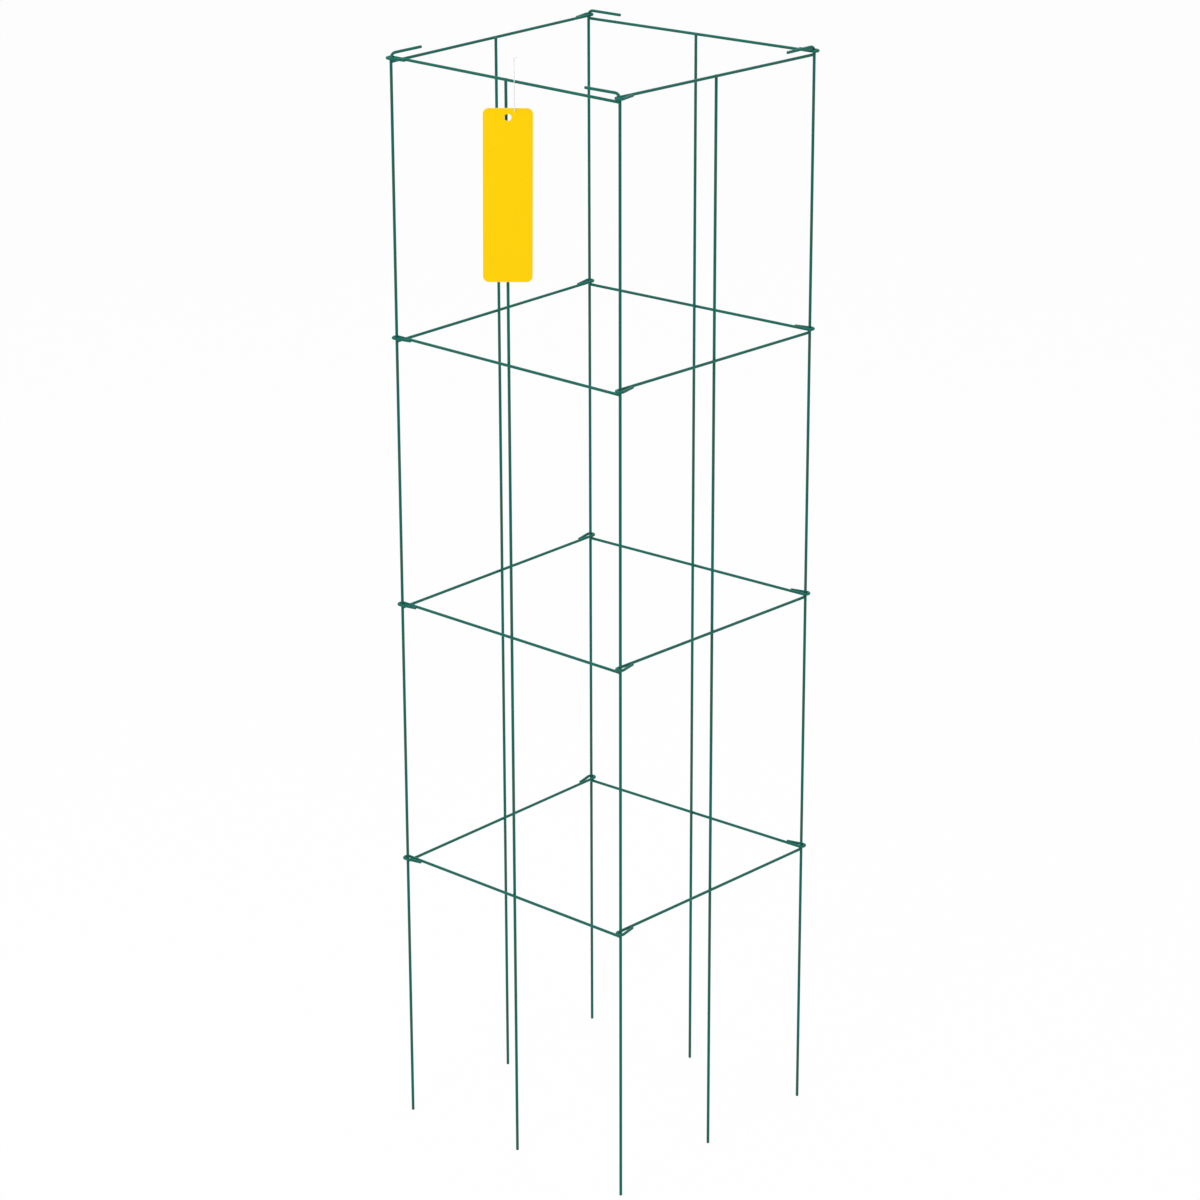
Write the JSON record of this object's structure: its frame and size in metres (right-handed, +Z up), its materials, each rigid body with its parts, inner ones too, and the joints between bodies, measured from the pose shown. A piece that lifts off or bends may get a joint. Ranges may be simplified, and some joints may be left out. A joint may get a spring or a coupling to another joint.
{
  "type": "folding wire tomato cage",
  "caption": "Square folding plant cage of coated wire: hinged panels with long legs and hooked corner posts, a hang tag on one rail.",
  "frame": {"origin": "on the ground, in the middle of the four corner posts", "axes": "+Z up along the posts; the front panel, which carries the tag, faces -Y; +X to its right"},
  "size_m": [0.3106, 0.3257, 1.1877],
  "materials": {
    "coated_wire": "dark green plastic coating over steel wire, half gloss",
    "tag_card": "blank yellow card, satin",
    "loop_filament": "clear plastic filament"
  },
  "bodies": {
    "front_panel": {"front_corner_post": "coated_wire", "front_mid_upright": "coated_wire", "front_bottom_rail": "coated_wire", "front_lower_rail": "coated_wire", "front_upper_rail": "coated_wire", "front_top_rail": "coated_wire"},
    "left_panel": {"left_corner_post": "coated_wire", "left_mid_upright": "coated_wire", "left_bottom_rail": "coated_wire", "left_lower_rail": "coated_wire", "left_upper_rail": "coated_wire", "left_top_rail": "coated_wire"},
    "back_panel": {"back_corner_post": "coated_wire", "back_mid_upright": "coated_wire", "back_bottom_rail": "coated_wire", "back_lower_rail": "coated_wire", "back_upper_rail": "coated_wire", "back_top_rail": "coated_wire"},
    "right_panel": {"right_corner_post": "coated_wire", "right_mid_upright": "coated_wire", "right_bottom_rail": "coated_wire", "right_lower_rail": "coated_wire", "right_upper_rail": "coated_wire", "right_top_rail": "coated_wire"},
    "tag_loop": {"tag_loop": "loop_filament"},
    "hang_tag": {"hang_tag": "tag_card"}
  },
  "joints": [
    {"name": "left_fold", "type": "hinge", "parent": "front_panel", "child": "left_panel", "pos_m": [-0.15, -0.15, 0], "axis": [0, 0, 1], "range_deg": [-80, 80]},
    {"name": "right_fold", "type": "hinge", "parent": "front_panel", "child": "right_panel", "pos_m": [0.15, -0.15, 0], "axis": [0, 0, 1], "range_deg": [-80, 80]},
    {"name": "back_fold", "type": "hinge", "parent": "left_panel", "child": "back_panel", "pos_m": [-0.15, 0.15, 0], "axis": [0, 0, 1], "range_deg": [-80, 80]},
    {"name": "tag_swing", "type": "hinge", "parent": "front_panel", "child": "tag_loop", "pos_m": [0.0137, -0.14827, 1.16427], "axis": [-0.9998, 0.0127, 0.013], "range_deg": [-2, 70]},
    {"name": "tag_tilt", "type": "hinge", "parent": "tag_loop", "child": "hang_tag", "pos_m": [0.0137, -0.14827, 1.13457], "axis": [0.6691, -0.7431, 0], "range_deg": [-40, 40]}
  ],
  "couplings": [
    {"joint": "right_fold", "follows": "left_fold", "ratio": 1},
    {"joint": "back_fold", "follows": "left_fold", "ratio": -1}
  ]
}
